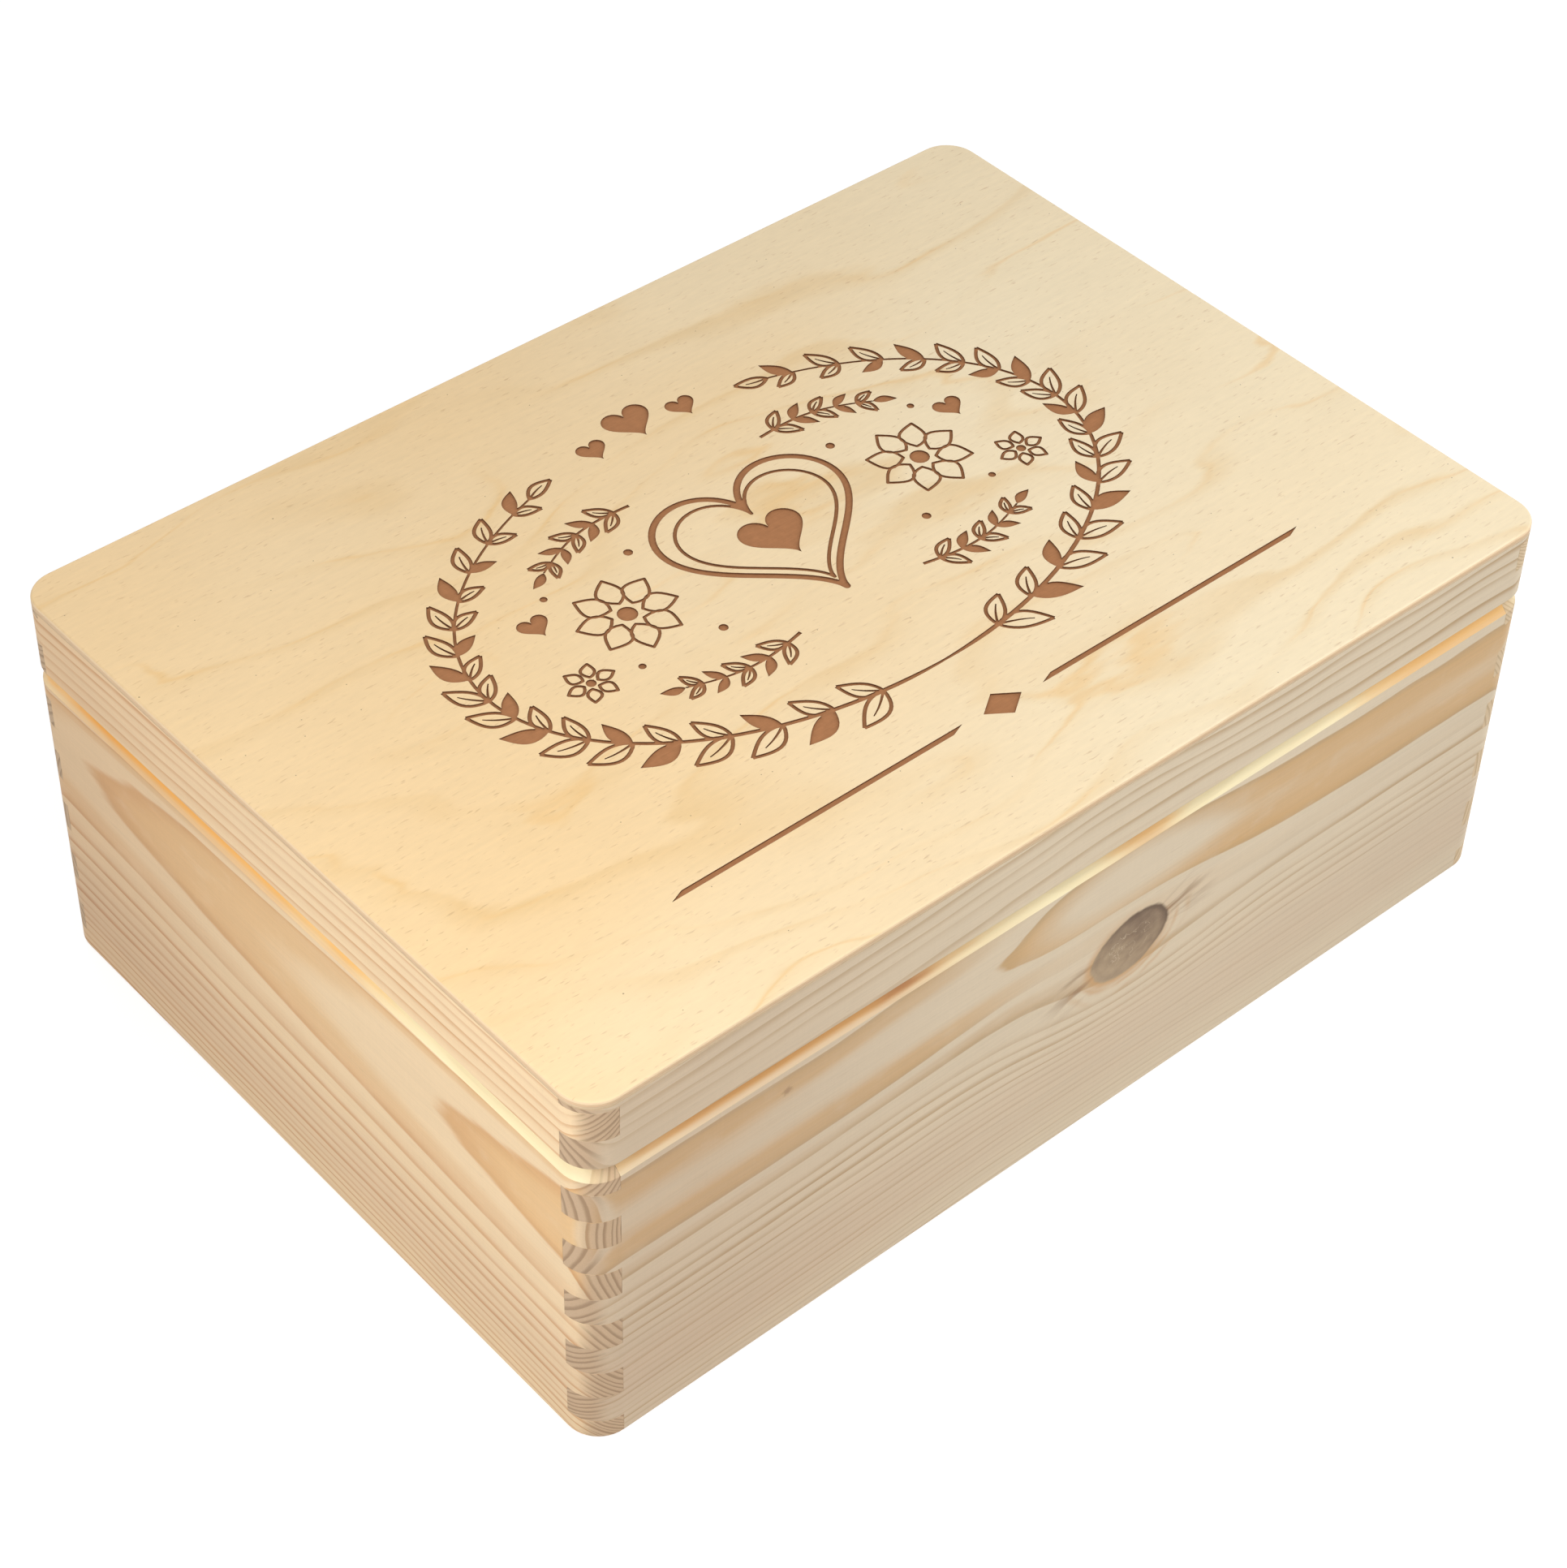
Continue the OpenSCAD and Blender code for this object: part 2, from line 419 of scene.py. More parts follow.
# arcs of resin below the knot: distance from its middle, half width and strength
KNOT_ARCS = ((1.26, 0.10, 0.46), (1.55, 0.13, 0.38))
KNOT_PALE = "B49C7D"
KNOT_DARK = "735B47"
KNOT_EDGE = "5E4836"
KNOT_CRACKS = "D9C6AB"
KNOT_RIM = "CB9A62"
KNOT_TAIL = "96714F"
PIN_R = (2.6, 2.0)
PIN_DARK = "8E6C50"


def ring_phase(s, plank, u, depth, height):
    """The number of the growth ring at a point of the plank, with its fraction."""
    seed = plank.seed
    along = u * plank.along
    slow = s.noise(u / 190 + seed, height / 60, depth / 60, 1.5)
    wave = s.noise(u / 62, height / 17 + seed, depth / 17, 1.5)
    fine = s.noise(u / 21, height / 3.6, depth / 3.6 + seed, 1.0)
    middle, half, size = plank.step
    drift = ((along - middle) / half).tanh() * size
    pith = plank.pith_in - along * plank.lean - drift + slow * 0.35
    level = height - along.hump(*plank.swell) - plank.pith_z + slow * 1.4 + wave * 1.1
    radius = (level * level + (pith - depth) ** 2.0).sqrt() + wave * 0.28 + fine * 0.09
    out = radius - plank.pith_in
    rings = out * plank.ring + out * abs(out) * (plank.tighten / 2)
    crowd_from, crowd = plank.crowd
    rings = rings + (height - crowd_from).op("MAXIMUM", 0.0) * crowd
    uneven = s.noise(rings * 0.8, seed, 0.0, 1.0) * abs(rings).rise(0.8, 2.5)
    rings = rings + uneven * 0.30 + plank.phase + FIRST_RING
    if plank.island:
        rings = rings - (-island_reach(plank, u, height)).exp() * plank.island[-1]
    return rings


def island_reach(plank, u, height):
    """The squared distance from the middle of the oval of clear wood, 1 at its rim."""
    at_u, at_z, half_u, half_z, _ = plank.island
    off_u, off_z = (u - at_u) / half_u, (height - at_z) / half_z
    return off_u * off_u + off_z * off_z


def late_wood(s, plank, phase, u, height, z):
    """How much late wood there is, and how much of its colour is the thin lines' one."""
    ring = phase.floor()
    part = phase - ring
    crowding = (abs(z - plank.pith_z) / plank.broad).rise(0.3, 1.5)
    band = part.rise(0.20, 0.52) * 0.8 + part.rise(0.5, 0.95) * 0.2
    line = part.rise(0.40, 0.93) ** 1.5
    late = (band + (line - band) * crowding) * part.rise(1.0, 1.0 - plank.rim)

    fading = s.noise(u / 80, ring * 3.7, plank.seed, 1.0) * 0.34
    weight = 1.0 - crowding * (0.62 - s.chance(ring + plank.seed) * 0.8 - fading)
    ahead = u.rise(*PLANK_RUN)
    for heights, (first, last) in (
        (LOW_LINES, plank.low_lines),
        (RAIL_LINES, plank.rail_lines),
    ):
        change = ahead * (last - first) + (first - 1.0)
        weight = weight * (1.0 + z.rise(*heights) * change)
    late = late * weight.op("MAXIMUM", 0.08).op("MINIMUM", 1.0)

    if plank.faint:
        which, start, end = plank.faint
        late = late * (1.0 - abs(ring - which).rise(0.6, 0.4) * u.rise(start, end) * 0.8)
    if plank.island:
        late = late * (1.0 - (-(island_reach(plank, u, height) ** 2.0)).exp() * 0.9)
    outer_edge = part.rise(0.76, 0.96) * 0.5
    return late, (crowding + outer_edge).op("MINIMUM", 1.0)


def side_grain(s, plank, u, w, z, late, late_colour, mottle, streaks):
    """The colour of the plank along its grain, apart from its flecks, knots and groove."""
    cloudy = s.noise(u / 14, z / 8, w / 8 + plank.seed, 3.0)
    colour = s.mix(late * (1.0 - cloudy.rise(0.0, 1.0) * 0.3), plank.clear, late_colour)
    low = z.rise(*BLUSH_TOP) * z.rise(*BLUSH_FOOT)
    colour = s.mix(low * (mottle * 0.10 + 0.20), colour, BLUSH)

    sanding = s.noise(u / 0.5, z / 0.5, w / 0.5, 2.0, 0.7)
    brushed = s.noise(u / 0.9, z / 11, w / 11, 2.0)
    grain = streaks * 0.055 + sanding * 0.012 + brushed * 0.012
    # painted light: the wood above the seam, on the lid's rails, made lighter
    gain = z.rise(*RAILS) * plank.rail_painted_light
    if plank.dull:
        gain = gain - u.rise(*plank.dull) * 0.075
    # the wood a little darker towards the bottom
    low_darkening = z.rise(*LOW_DARKENING) * 0.03
    colour = s.tone(colour, 1.0 + mottle * 0.03 + grain - low_darkening + gain)
    # painted shade: the wood darker and warmer towards one end of the plank
    return s.mix(u.rise(*plank.painted_warm_shade), colour, PAINTED_SHADE_TINT, "MULTIPLY")


def end_grain(s, plank, phase, mottle, pores):
    """The colour of the plank's sawn ends: the rings, as lines."""
    turns = phase * plank.stripes
    part = turns - turns.floor()
    line = part.rise(0.45, 0.80) * part.rise(1.0, 0.90)
    colour = s.mix(line * 0.75, *plank.ends)
    return s.tone(colour, 1.0 + pores * 0.06 + mottle * 0.04)


def groove_mask(z, nz):
    """1 on the sloping faces of the seam's groove and 0 elsewhere."""
    slope = abs(nz).rise(0.35, 0.6) * abs(nz).rise(0.97, 0.85)
    return slope * abs(z - SEAM_Z).rise(GROOVE_HALF + 0.6, GROOVE_HALF + 0.2)


def groove_colour(s, plank, u, z, streaks):
    """The groove's painted light: pale with painted shade in its depth, and along its warm
    stretches a golden painted shade with a paler painted highlight at its rim.
    """
    into = 1.0 - abs(z - SEAM_Z) / GROOVE_HALF
    deep = into.rise(0.10, 0.60)
    uneven = s.noise(u / 22, z / 2.0, plank.seed, 2.0)
    painted_warm_shade = sum(u.hump(*stretch) for stretch in plank.painted_groove_shade)
    painted_lit_groove = s.mix(deep, GROOVE_PAINTED_LIGHT, GROOVE_PAINTED_SHADE)
    ahead = u.rise(*PLANK_RUN)
    painted_warm_groove = s.mix(deep, s.mix(ahead, *plank.painted_groove_highlight), s.mix(ahead, *plank.painted_groove_deep))
    colour = s.mix((painted_warm_shade + uneven * 0.16).rise(0.05, 0.85), painted_lit_groove, painted_warm_groove)
    if plank.resin:
        streak = u.hump(*plank.resin) * (uneven * 0.5 + 0.7)
        colour = s.mix(streak.rise(0.0, 1.0) * deep * 0.7, colour, RESIN)
    return s.tone(colour, 1.0 + streaks * 0.05)


def bent_height(plank, u, z):
    """The height at which the grain that passes the knot would run without it."""
    at_u, at_z = plank.knot
    du, dz = (u - at_u) / KNOT_REACH[0], (z - at_z) / KNOT_REACH[1]
    push = (-(du * du + dz * dz)).exp() * KNOT_PUSH
    return at_z + (z - at_z) * (1.0 - push)


def knot_field(s, plank, u, z):
    """The knot's own turned coordinates and the distance from its middle, 1 at its rim."""
    at_u, at_z = plank.knot
    cos, sin = math.cos(KNOT_TURN), math.sin(KNOT_TURN)
    du, dz = u - at_u, z - at_z
    a = (du * cos + dz * sin) / KNOT_R[0]
    b = (dz * cos - du * sin) / KNOT_R[1]
    rough = s.noise(a * 2.0, b * 2.0, 5.0, 3.0)
    return a, b, (a * a + b * b).sqrt() + rough * 0.05


def round_knot(s, colour, a, b, reach, lean, side):
    """The plank's colour round the knot: its dark tails, its arcs and its resin rim."""
    fan = b / (abs(a) * 0.5 + 0.25)
    tails = s.noise(a * 0.7, fan * 3.2, 21.0, 2.0).rise(-0.2, 0.5) * side
    tails = tails * abs(a).rise(2.5, 1.0) * abs(fan).rise(0.85, 0.25)
    colour = s.mix(tails * 0.85, colour, KNOT_TAIL)
    wander = s.noise(a * 1.1, b * 1.1, 31.0, 1.0)
    for away, width, strength in KNOT_ARCS:
        arc = abs(reach + wander * 0.09 - away).rise(width, 0.0) * b.rise(0.2, -0.5)
        arc = arc * (wander + 0.7).rise(0.0, 1.0) * side
        colour = s.mix(arc * strength, colour, KNOT_RIM)
    halo = reach.rise(1.30, 1.0) * reach.rise(0.9, 1.0) * side
    return s.mix(halo * lean.rise(0.9, -0.6) * 0.75, colour, KNOT_RIM)


def knot_heart(s, a, b, reach, lean):
    """The knot's own colour: grey-brown, with faint rings, pale cracks and a dark edge."""
    patches = s.noise(a * 2.2, b * 2.2, 9.0, 4.0)
    heart = s.mix((lean + patches * 0.45).rise(-0.8, 0.9), KNOT_PALE, KNOT_DARK)
    rings = s.noise(reach * 9.0, a * 0.8, b * 0.8, 1.0)
    heart = s.tone(heart, 1.0 + rings * 0.09)
    cracks = abs(s.noise(a * 2.6, b * 2.6, 17.0, 3.0)).rise(0.045, 0.0)
    heart = s.mix(cracks * reach.rise(0.8, 0.4) * 0.55, heart, KNOT_CRACKS)
    edge = reach.rise(1.06, 0.98) * reach.rise(0.80, 0.97) * lean.rise(-0.5, 0.6)
    return s.mix(edge * 0.7, heart, KNOT_EDGE)


def add_knot(s, plank, colour, u, z, side):
    """The knot and what lies round it, over the plank's colour."""
    a, b, reach = knot_field(s, plank, u, z)
    lean = a * 0.45 + b * 0.35
    colour = round_knot(s, colour, a, b, reach, lean, side)
    inside = reach.rise(1.05, 0.95) * side
    return s.mix(inside, colour, knot_heart(s, a, b, reach, lean))


def add_pin_knot(s, plank, colour, u, z, side):
    """A tiny dark knot, over the plank's colour."""
    at_u, at_z = plank.pin
    du, dz = (u - at_u) / PIN_R[0], (z - at_z) / PIN_R[1]
    rough = s.noise(du * 1.5, dz * 1.5, 3.0, 2.0)
    spot = ((du * du + dz * dz).sqrt() + rough * 0.45).rise(1.1, 0.2) * side
    return s.mix(spot * 0.5, colour, PIN_DARK)


def pine(name, plank):
    """Sanded pine: growth rings through the whole plank, so its end grain fits its faces."""
    s = Shader(name)
    x, y, z = s.place()
    nx, ny, nz = s.normal()
    u, w, along_normal = (x, y, nx) if plank.grain == "x" else (y, x, ny)
    end = abs(along_normal).rise(0.30, 0.80)
    side = 1.0 - end
    height = bent_height(plank, u, z) if plank.knot else z
    phase = ring_phase(s, plank, u, (w - plank.face) * plank.inward, height)
    late, darkness = late_wood(s, plank, phase, u, height, z)
    late_colour = s.mix(darkness, plank.late, plank.thin)
    mottle = s.noise(u / 75, z / 22, w / 22 + plank.seed, 3.0)
    streaks = s.noise(u / 30, z / 0.7, w / 0.7, 4.0, 0.65)
    flecks = s.noise(u / 6.0, z / 0.42, w / 0.42 + 7.0, 1.0).rise(0.62, 1.0)
    pores = s.noise(z / 0.45, w / 0.45, u / 0.45, 2.0)

    colour = side_grain(s, plank, u, w, z, late, late_colour, mottle, streaks)
    colour = s.mix(flecks * 0.22, colour, FLECKS)
    colour = s.mix(end * 0.92, colour, end_grain(s, plank, phase, mottle, pores))
    if plank.knot:
        colour = add_knot(s, plank, colour, u, z, side)
    if plank.pin:
        colour = add_pin_knot(s, plank, colour, u, z, side)
    # the seam's groove: painted light and shade over the wood's streaks
    groove = groove_mask(z, nz) * side * 0.85
    colour = s.mix(groove, colour, groove_colour(s, plank, u, z, streaks))

    relief = late * 0.25 + streaks * 0.16 + flecks * -0.5 + end * pores * 0.35
    roughness = 0.58 - late * 0.08 + streaks * 0.03 + end * 0.12
    return s.finish(colour, roughness, relief, 0.05, Specular_IOR_Level=0.3)


# ---------------------------------------------------------------- plywood

PLY_PALE = "F6E4C1"
PLY_WARM = "F4D4A2"
PLY_BAND = "E0B877"
PLY_LINE = "EBBB70"
PLY_FLECKS = "B98B5C"
PLY_SPECKS = "6E4A2C"
PLY_EDGE = "EFD3AD"
PLY_CORE = "E3C19A"
PLY_GLUE = "B08F70"
PLY_JOINT = "B98C66"

# plies for each millimetre of the lid's panel and of the base, and how light the base is
LID_PLIES = 1.0
BASE_PLIES = 0.75
BASE_TINT = 0.97

BURNT_FLOOR = "B07A52"
# the walls hold painted shade as well as the charring
BURNT_WALL_AND_SHADE = "6E4A31"


def veneer_bands(s, x, y):
    """The veneer's plain colour with its wavy bands, each with a fine line at its edge."""
    swirl = s.noise(x / 190, y / 85, 2.0, 2.0, 0.45)
    wobble = s.noise(x / 55, y / 13, 4.0, 3.0)
    bands = swirl * 2.2 + y / 40 + x / 900 + wobble * 0.15 + 20
    part = bands - bands.floor()
    band = part.rise(0.55, 0.88) * part.rise(1.0, 0.90)
    patchy = s.noise(x / 120, y / 45, 9.0, 2.0).rise(-0.5, 0.9)
    drift = s.noise(x / 210, y / 130, 6.0, 1.0) * 0.4 - x / 420 + y / 650
    colour = s.mix(drift.rise(-0.55, 0.6), PLY_PALE, PLY_WARM)
    colour = s.mix(band * patchy * 0.42, colour, PLY_BAND)
    broken = s.noise(x / 60, y / 30, 14.0, 2.0).rise(-0.3, 0.7)
    return s.mix(abs(part - 0.88).rise(0.06, 0.0) * broken * 0.4, colour, PLY_LINE)


def ply_edges(s, x, y, z, bottom, plies, rough):
    """The colour of the edges: plies in turn, glue between them and the joint below."""
    layer = (z - bottom) * plies
    across = (layer / 2 - (layer / 2).floor()).rise(0.46, 0.54)
    glue = abs(layer - layer.op("ROUND")).rise(0.10, 0.03)
    colour = s.mix(across, PLY_EDGE, PLY_CORE)
    colour = s.mix(glue * 0.3, colour, PLY_GLUE)
    joint = (z - bottom + rough * 0.12).rise(0.75, 0.15)
    colour = s.mix(joint * 0.45, colour, PLY_JOINT)
    return s.tone(colour, 1.0 + rough * 0.06)


def plywood(name, bottom, plies, tint=1.0):
    """Rotary-cut birch plywood, bottom being the height of its underside."""
    s = Shader(name)
    x, y, z = s.place()
    edge = abs(s.normal()[2]).rise(0.80, 0.45)
    fine = s.noise(x / 34, y / 2.1, 3.0, 2.0) * 0.8 + s.noise(x / 6, y / 1.4, 5.0, 3.0)
    cloud = s.noise(x / 30, y / 18, 1.0, 3.0)
    # painted shade: the plywood darker towards the back
    painted_shade_back = y / 2500
    colour = veneer_bands(s, x, y)
    colour = s.tone(colour, (1.008 + fine * 0.030 + cloud * 0.016 - painted_shade_back) * tint)
    thick = s.noise(x / 26, y / 13, 12.0, 2.0).rise(-0.7, 0.9)
    flecks = s.noise(x / 4.5, y / 0.9, 8.0, 1.0).rise(0.38, 0.85) * (thick * 0.7 + 0.3)
    colour = s.mix(flecks * 0.42, colour, PLY_FLECKS)
    specks = s.noise(x / 1.1, y / 1.1, 15.0, 0.0).rise(1.18, 1.3)
    colour = s.mix(specks * 0.6, colour, PLY_SPECKS)
    rough = s.noise(x / 1.6, y / 1.6, z / 0.25, 3.0)
    colour = s.mix(edge, colour, ply_edges(s, x, y, z, bottom, plies, rough))

    relief = fine * 0.15 - flecks * 0.5 + edge * rough * 0.4
    roughness = 0.52 + fine * 0.03 + edge * 0.15
    return s.finish(colour, roughness, relief, 0.04, Specular_IOR_Level=0.3)


def burnt_wood(name):
    """The engraving: scorched wood, darkest on its upright walls, whose colour is charring and
    painted shade together.
    """
    s = Shader(name)
    x, y, _ = s.place()
    wall = abs(s.normal()[2]).rise(0.7, 0.3)
    smoke = s.noise(x / 2.5, y / 2.5, 1.0, 3.0)
    grain = s.noise(x / 9, y / 0.5, 2.0, 2.0)
    passes = s.noise(x / 8, y / 0.16, 5.0, 0.0)
    colour = s.mix(wall, BURNT_FLOOR, BURNT_WALL_AND_SHADE)
    colour = s.tone(colour, 1.0 + smoke * 0.09 + grain * 0.06 + passes * 0.04)
    relief = passes * 0.3 + grain * 0.3
    return s.finish(colour, 0.8 + smoke * 0.05, relief, 0.05, Specular_IOR_Level=0.15)


# ---------------------------------------------------------------- brass

# the pale and the dull tone of the hinges' leaves and pins, and of their screws
LEAF_TONES = ("D9B466", "B58D45")
SCREW_TONES = ("D5AE62", "A9823F")


def brass(name, tones, scratch_across):
    """Satin brass plate with fine scratches, and dull spots where it has been handled."""
    s = Shader(name)
    x, y, z = s.place()
    along, across = (y, x) if scratch_across else (x, y)
    scratches = s.noise(along / 6, across / 0.12, z / 0.12, 3.0, 0.65)
    spots = s.noise(x / 2.4, y / 2.4, z / 2.4, 3.0)
    colour = s.mix(spots.rise(-0.3, 0.9), *tones)
    colour = s.tone(colour, 1.0 + scratches * 0.05)
    roughness = 0.33 + scratches * 0.05 + spots.rise(0.0, 1.0) * 0.14
    return s.finish(colour, roughness, scratches, 0.01, Metallic=1.0)


# ---------------------------------------------------------------- pieces

# what is welded together in millimetres, what counts as flat and what as an edge
WELD = 0.002
FLAT = math.radians(0.5)
EDGE = math.radians(35)


def shade_smooth_nodes():
    """A node group that shades a whole mesh smooth, for the pieces with eased edges."""
    group = bpy.data.node_groups.new("shade_smooth", "GeometryNodeTree")
    for way in ("INPUT", "OUTPUT"):
        group.interface.new_socket(
            "Geometry", in_out=way, socket_type="NodeSocketGeometry"
        )
    source = group.nodes.new("NodeGroupInput")
    shade = group.nodes.new("GeometryNodeSetShadeSmooth")
    result = group.nodes.new("NodeGroupOutput")
    group.links.new(source.outputs[0], shade.inputs["Geometry"])
    group.links.new(shade.outputs[0], result.inputs[0])
    return group


def ease_edges(piece, width_mm, smooth_nodes):
    """Takes the sharpness off a piece's edges, as sanding or tumbling does."""
    weld = piece.modifiers.new("weld", "WELD")
    weld.merge_threshold = WELD * MM
    flat = piece.modifiers.new("flat", "DECIMATE")
    flat.decimate_type = "DISSOLVE"
    flat.angle_limit = FLAT
    bevel = piece.modifiers.new("ease", "BEVEL")
    bevel.width = width_mm * MM
    bevel.segments = 2
    bevel.limit_method = "ANGLE"
    bevel.angle_limit = EDGE
    smooth = piece.modifiers.new("smooth", "NODES")
    smooth.node_group = smooth_nodes
    piece.modifiers.new("normals", "WEIGHTED_NORMAL")


def add_object(name, mesh):
    """An object of the scene with this bmesh, which is used up."""
    data = bpy.data.meshes.new(name)
    mesh.to_mesh(data)
    mesh.free()
    made = bpy.data.objects.new(name, data)
    bpy.context.scene.collection.objects.link(made)
    return made


def paint(piece, material):
    """Gives a whole piece one material."""
    piece.data.materials.clear()
    piece.data.materials.append(material)


def dress_nodes():
    """Materials and eased edges for every CAD node that stays."""
    looks = {"base_panel": plywood("plywood_base", 0.0, BASE_PLIES, BASE_TINT)}
    for side, plank in PLANKS.items():
        board = f"{side}_board" if plank.grain == "x" else f"{side}_end_board"
        looks[board] = looks[f"lid_{side}_rail"] = pine("pine_" + side, plank)
    leaf = brass("brass_leaf", LEAF_TONES, scratch_across=False)
    screw = brass("brass_screw", SCREW_TONES, scratch_across=True)
    for end in ("left", "right"):
        for part in ("case_leaf", "lid_leaf", "pin"):
            looks[f"{end}_hinge_{part}"] = leaf
        for part in ("case_screws", "lid_screws"):
            looks[f"{end}_hinge_{part}"] = screw
    smooth_nodes = shade_smooth_nodes()
    for name, material in looks.items():
        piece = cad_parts[name]
        paint(piece, material)
        ease_edges(piece, EASED_METAL if "hinge" in name else EASED_WOOD, smooth_nodes)


# ---------------------------------------------------------------- engraving

# the widths of plain and bold lines
LINE = 1.3
BOLD = 2.4
# the cosine of the turn from which a line gets a round joint instead of a shared side
SHARP_TURN = 0.7
DOT_SIDES = 20
# how far a leaf bends, as a share of its length, and where it is widest: in its middle at
# 1, and nearer its foot below that
LEAF_BEND = 0.06
LEAF_FULLNESS = 0.85
# the steps along a leaf's edges, and how many of them its rib covers
LEAF_STEPS = 12
RIB_STEPS = 8
# a flower's eye, and its petals' foot, length and width, as shares of its radius
EYE, PETAL_FOOT, PETAL_LENGTH, PETAL_WIDTH = 0.20, 0.32, 0.72, 0.52


class Engraving:
    """The closed outlines that are cut into the lid, in millimetres on its top."""

    def __init__(self):
        self.cuts = []

    def area(self, points):
        """A whole area inside a closed outline, whichever way round that is given."""
        points = [Vector(p) for p in points]
        turn = sum(a.cross(b) for a, b in zip(points, points[1:] + points[:1]))
        self.cuts.append(points if turn > 0 else points[::-1])

    def stroke(self, points, width=LINE, closed=False, taper=None):
        """A line of the given width through the points. taper gives its width at 0..1."""
        points = [Vector(p) for p in points]
        count = len(points)
        last = count if closed else count - 1
        ways = [(points[(i + 1) % count] - points[i]).normalized() for i in range(last)]

        def sides(i, own):
            """The line's two sides at a point, shared by both pieces if it is smooth."""
            before = ways[i - 1] if closed or i else own
            after = ways[i % last] if closed or i < last else own
            half = width / 2 * (taper(i / last) if taper else 1)
            sharp = before.dot(after) < SHARP_TURN
            if sharp:
                self.dot(points[i % count], half)
            ahead = own if sharp else (before + after).normalized()
            off = Vector((-ahead.y, ahead.x)) * half
            return points[i % count] + off, points[i % count] - off

        for i, own in enumerate(ways):
            (a, b), (c, d) = sides(i, own), sides(i + 1, own)
            self.area([a, b, d, c])

    def dot(self, centre, radius):
        turns = [math.tau * i / DOT_SIDES for i in range(DOT_SIDES)]
        self.area([on_circle(centre, radius, angle) for angle in turns])


def on_ellipse(centre, radii, angle):
    """The point of an ellipse at an angle, measured on its circle before it was flattened."""
    return Vector((
        centre[0] + radii[0] * math.cos(angle),
        centre[1] + radii[1] * math.sin(angle),
    ))


def on_circle(centre, radius, angle):
    return on_ellipse(centre, (radius, radius), angle)


def heading(start, end):
    """The angle of the way from one point to another."""
    ahead = end - start
    return math.atan2(ahead.y, ahead.x)


def heart_curve(t):
    """One side of a heart 2 wide, from its notch at 0 to its tip at pi."""
    x = 16 * math.sin(t) ** 3
    y = 13 * math.cos(t) - 5 * math.cos(2 * t) - 2 * math.cos(3 * t) - math.cos(4 * t)
    return Vector((x, y + 2.5)) / 16


def heart_outline(centre, width, step=1.5, samples=200):
    """A heart with its tip at the front, as wide as given, with points a step apart."""
    half = []
    for i in range(samples):
        point = heart_curve(math.pi * i / samples) * (width / 2)
        if not half or (point - half[-1]).length > step:
            half.append(point)
    tip = heart_curve(math.pi) * (width / 2)
    if (half[-1] - tip).length < step:
        half.pop()
    mirrored = [Vector((-p.x, p.y)) for p in half[:0:-1]]
    return [Vector(centre) + p for p in half + [tip] + mirrored]


def leaf_sides(base, angle, length, width, count=LEAF_STEPS):
    """The two edges of a pointed leaf, a little bent, from its base to its tip."""
    ahead = Vector((math.cos(angle), math.sin(angle)))
    side = Vector((-ahead.y, ahead.x))
    left, right = [], []
    for i in range(count + 1):
        t = i / count
        swell = math.sin(math.pi * t ** LEAF_FULLNESS) * width / 2
        bend = math.sin(math.pi * t) * length * LEAF_BEND
        spine = Vector(base) + ahead * (length * t) + side * bend
        left.append(spine + side * swell)
        right.append(spine - side * swell)
    return left, right


def leaf(cut, base, angle, length, width, solid):
    """A leaf, cut out whole or as an outline with a midrib over most of it."""
    left, right = leaf_sides(base, angle, length, width)
    if solid:
        cut.area(right + left[-2:0:-1])
        return
    cut.stroke(left)
    cut.stroke(right)
    rib = [(a + b) / 2 for a, b in zip(left, right)][:RIB_STEPS + 1]
    cut.stroke(rib, LINE * 0.8, taper=lambda t: 1 - 0.6 * t)


def flower(cut, centre, radius, petals, turn=0.0):
    """An open flower: a ring of outlined petals round a solid eye."""
    cut.dot(centre, radius * EYE)
    for i in range(petals):
        angle = turn + math.tau * i / petals
        foot = on_circle(centre, radius * PETAL_FOOT, angle)
        length, width = radius * PETAL_LENGTH, radius * PETAL_WIDTH
        left, right = leaf_sides(foot, angle, length, width, 10)
        cut.stroke(right + left[-2:0:-1], LINE * 0.85, closed=True)


def ruled_line(cut, start, end, width=2.0, slant=5.2):
    """A long straight line whose two ends run out in slanted points."""
    (x0, y0), (x1, y1) = start, end
    half = width / 2
    cut.area([
        (x0, y0 - half), (x1 - slant, y1 - half), (x1, y1 + half), (x0 + slant, y0 + half),
    ])


WREATH_AT = (2.0, 7.0)
WREATH_RADII = (120.0, 75.0)
WREATH_LEAVES = 17
# where a branch starts before the bottom middle, and how far round the wreath it goes
BRANCH_START = math.radians(-7)
BRANCH_REACH = math.radians(162)
# the leaves of a branch and of a sprig: where on the stem the first one is and how far
# along it the last one, their length at its foot and how much less it is at its tip, and
# how far they stand off from it
BRANCH_FIRST, BRANCH_LAST = 0.115, 0.97
BRANCH_LEAF, BRANCH_LESS = 19.0, 7.0
BRANCH_SPREAD = math.radians(38)
SPRIG_FIRST, SPRIG_LAST = 0.14, 0.88
SPRIG_LEAF, SPRIG_LESS = 10.5, 3.0
SPRIG_SPREAD = math.radians(42)
# a step along a stem that is short enough to give its direction
AHEAD = 0.02


def wreath_point(side, t):
    """A point of one branch, from near the bottom middle at 0 to its tip at 1."""
    angle = -math.pi / 2 + side * (BRANCH_START + BRANCH_REACH * t)
    return on_ellipse(WREATH_AT, WREATH_RADII, angle)


